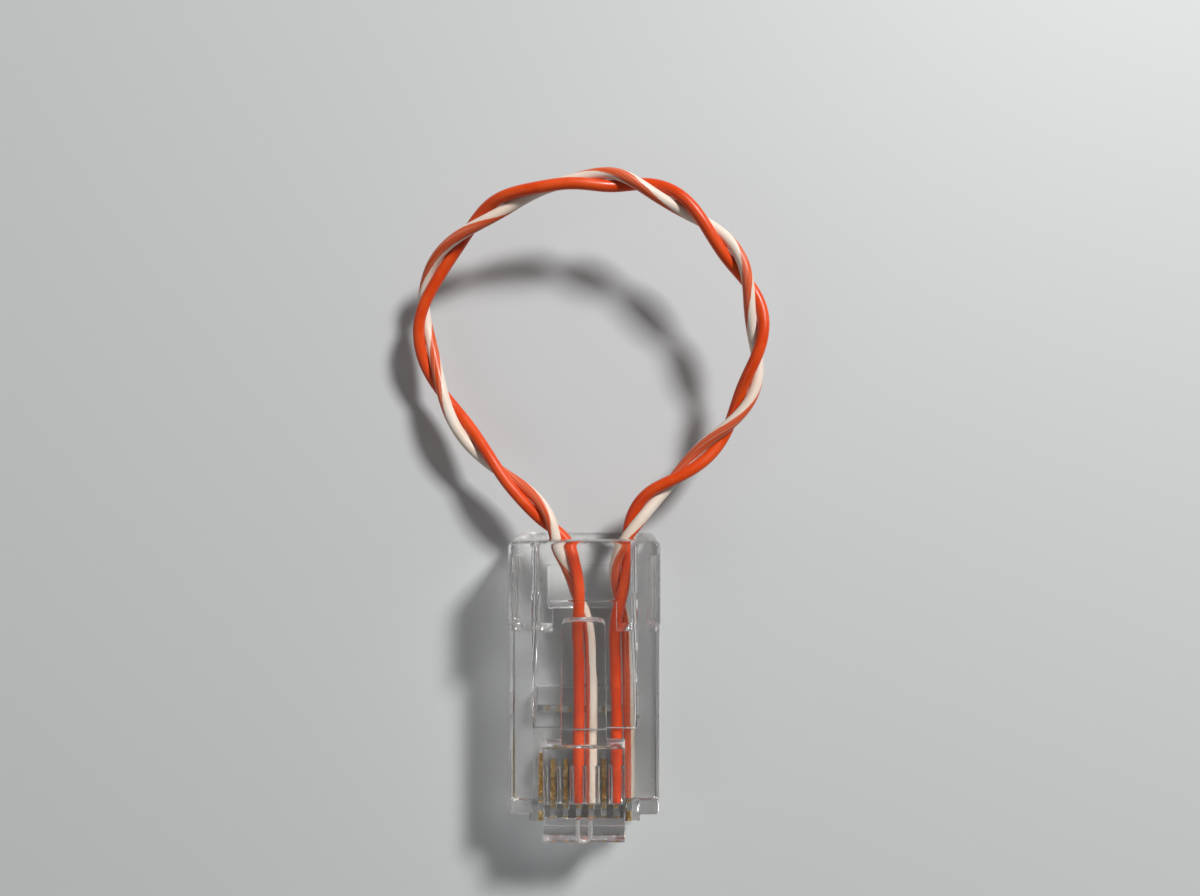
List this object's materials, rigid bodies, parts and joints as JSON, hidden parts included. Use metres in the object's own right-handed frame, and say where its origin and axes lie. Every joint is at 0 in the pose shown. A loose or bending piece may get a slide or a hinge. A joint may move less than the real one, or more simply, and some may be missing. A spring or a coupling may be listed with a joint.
{
  "type": "loopback plug",
  "caption": "Clear modular plug with a spring latch and gold contacts; a twisted orange and white wire pair leaves its cable end, loops round and returns to join contacts for line tests.",
  "frame": {"origin": "middle of the plug's own box at the level of its contact face, which rests on the surface; the wire loop is not counted", "axes": "+X across the contacts, +Y from the contact end to the cable end and the wire loop, +Z from the contact face up to the latch"},
  "size_m": [0.0283, 0.052, 0.0115],
  "materials": {
    "clear_plastic": "clear moulded polycarbonate, polished",
    "gold_plate": "gold plate on bronze",
    "orange_insulation": "smooth polyethylene insulation on a solid copper core",
    "white_insulation": "smooth white insulation with an orange stripe, on a solid copper core"
  },
  "bodies": {
    "plug": {"housing": "clear_plastic", "contact_1": "gold_plate", "contact_2": "gold_plate", "contact_3": "gold_plate", "contact_4": "gold_plate", "contact_5": "gold_plate", "contact_6": "gold_plate", "contact_7": "gold_plate", "contact_8": "gold_plate", "orange_wire": "orange_insulation", "white_wire": "white_insulation"},
    "lever": {"latch": "clear_plastic"}
  },
  "joints": [
    {"name": "latch_press", "type": "hinge", "parent": "plug", "child": "lever", "pos_m": [0, -0.01093, 0.0071], "axis": [-1, 0, 0], "range_deg": [0, 12], "stiffness_Nm_per_rad": 0.2}
  ]
}
